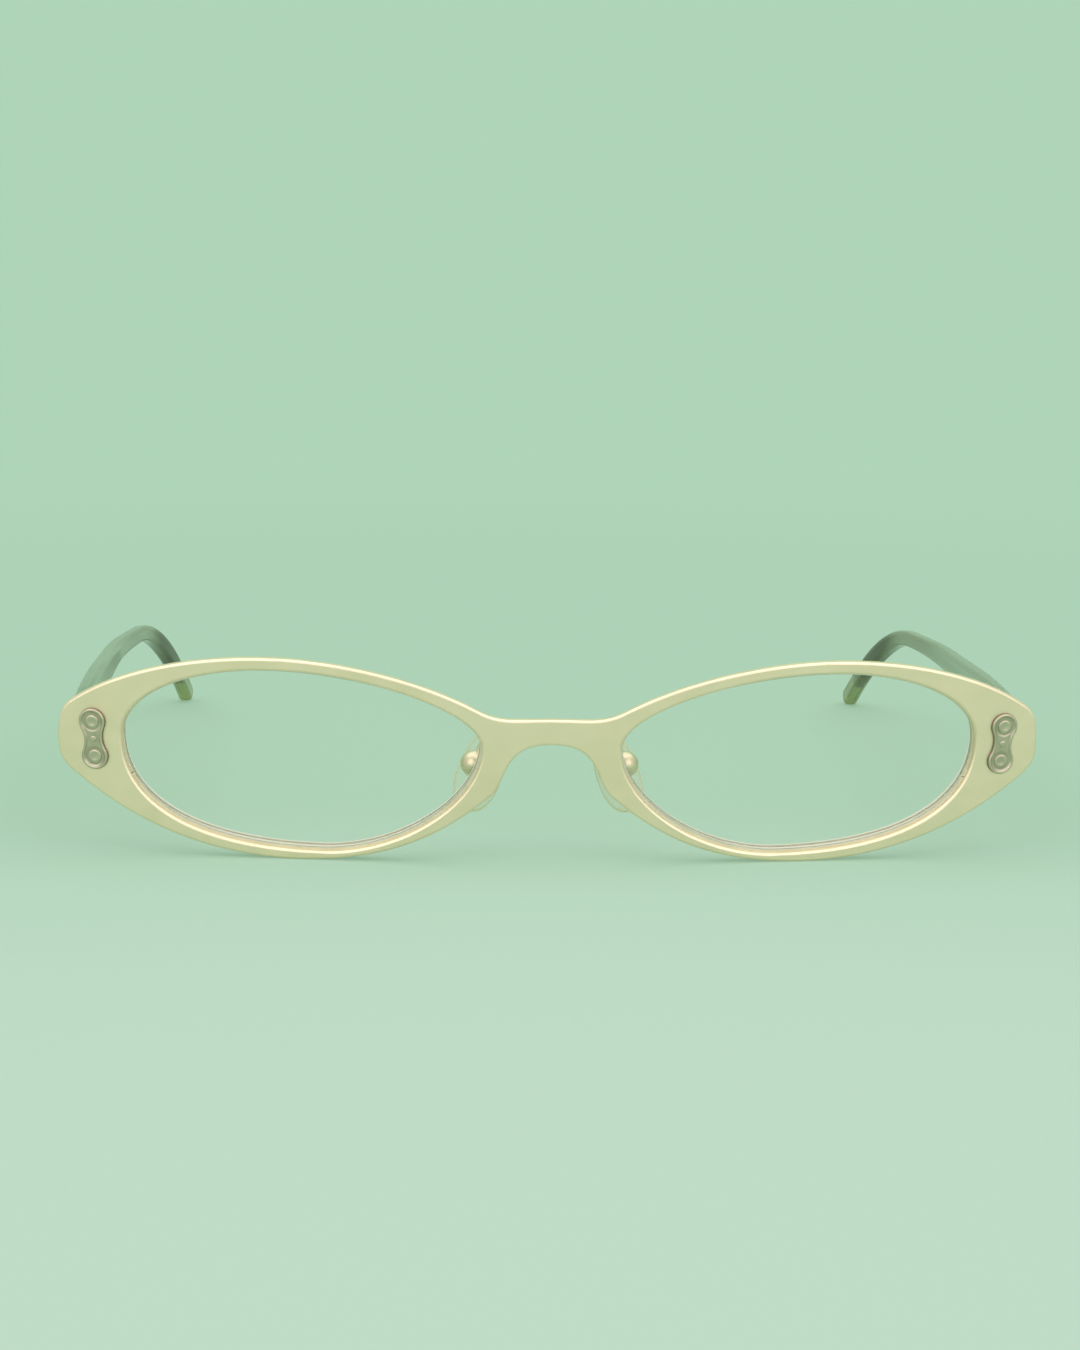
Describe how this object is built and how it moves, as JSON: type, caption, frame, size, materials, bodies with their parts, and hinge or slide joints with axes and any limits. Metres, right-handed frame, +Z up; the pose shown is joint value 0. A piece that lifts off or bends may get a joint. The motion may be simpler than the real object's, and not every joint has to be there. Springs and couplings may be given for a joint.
{
  "type": "oval eyeglasses",
  "caption": "Thin metal front with two oval clear lenses, riveted end shields, screwed nose pads and slim acetate temples that fold on barrel hinges.",
  "frame": {"origin": "centre of the bounding box at its base, midway between the temples and between front and tips", "axes": "+Z up as worn, +Y from the front towards the temple tips, +X to the right as seen from in front"},
  "size_m": [0.132, 0.1388, 0.0277],
  "materials": {
    "champagne_metal": "satin plated",
    "pewter": "satin",
    "screw_metal": "turned",
    "core_metal": "dark drawn wire",
    "acetate": "polished translucent",
    "lens": "clear coated",
    "pad_silicone": "clear soft"
  },
  "bodies": {
    "front": {"front_plate": "champagne_metal", "eyewire_left": "champagne_metal", "lens_left": "lens", "rim_lock_left": "champagne_metal", "rim_screw_left": "screw_metal", "rivet_shield_left": "pewter", "shield_rivets_left": "pewter", "front_hinge_left": "champagne_metal", "hinge_screw_left": "screw_metal", "pad_arm_left": "champagne_metal", "pad_cup_left": "champagne_metal", "pad_screw_left": "screw_metal", "eyewire_right": "champagne_metal", "lens_right": "lens", "rim_lock_right": "champagne_metal", "rim_screw_right": "screw_metal", "rivet_shield_right": "pewter", "shield_rivets_right": "pewter", "front_hinge_right": "champagne_metal", "hinge_screw_right": "screw_metal", "pad_arm_right": "champagne_metal", "pad_cup_right": "champagne_metal", "pad_screw_right": "screw_metal"},
    "temple_arm_left": {"temple_left": "acetate", "temple_core_left": "core_metal", "temple_hinge_left": "champagne_metal", "temple_rivets_left": "screw_metal"},
    "temple_arm_right": {"temple_right": "acetate", "temple_core_right": "core_metal", "temple_hinge_right": "champagne_metal", "temple_rivets_right": "screw_metal"},
    "pad_left": {"nose_pad_left": "pad_silicone", "pad_lug_left": "screw_metal"},
    "pad_right": {"nose_pad_right": "pad_silicone", "pad_lug_right": "screw_metal"}
  },
  "joints": [
    {"name": "temple_fold_left", "type": "hinge", "parent": "front", "child": "temple_arm_left", "pos_m": [-0.0607, -0.05448, 0.01733], "axis": [0, 0, -1], "range_deg": [0, 88]},
    {"name": "temple_fold_right", "type": "hinge", "parent": "front", "child": "temple_arm_right", "pos_m": [0.0607, -0.05448, 0.01733], "axis": [0, 0, 1], "range_deg": [0, 81]},
    {"name": "pad_rock_left", "type": "hinge", "parent": "front", "child": "pad_left", "pos_m": [-0.01015, -0.06156, 0.01259], "axis": [-0.6691, 0.7376, 0.0906], "range_deg": [-12, 12]},
    {"name": "pad_rock_right", "type": "hinge", "parent": "front", "child": "pad_right", "pos_m": [0.01015, -0.06156, 0.01259], "axis": [0.6691, 0.7376, 0.0906], "range_deg": [-12, 12]}
  ]
}
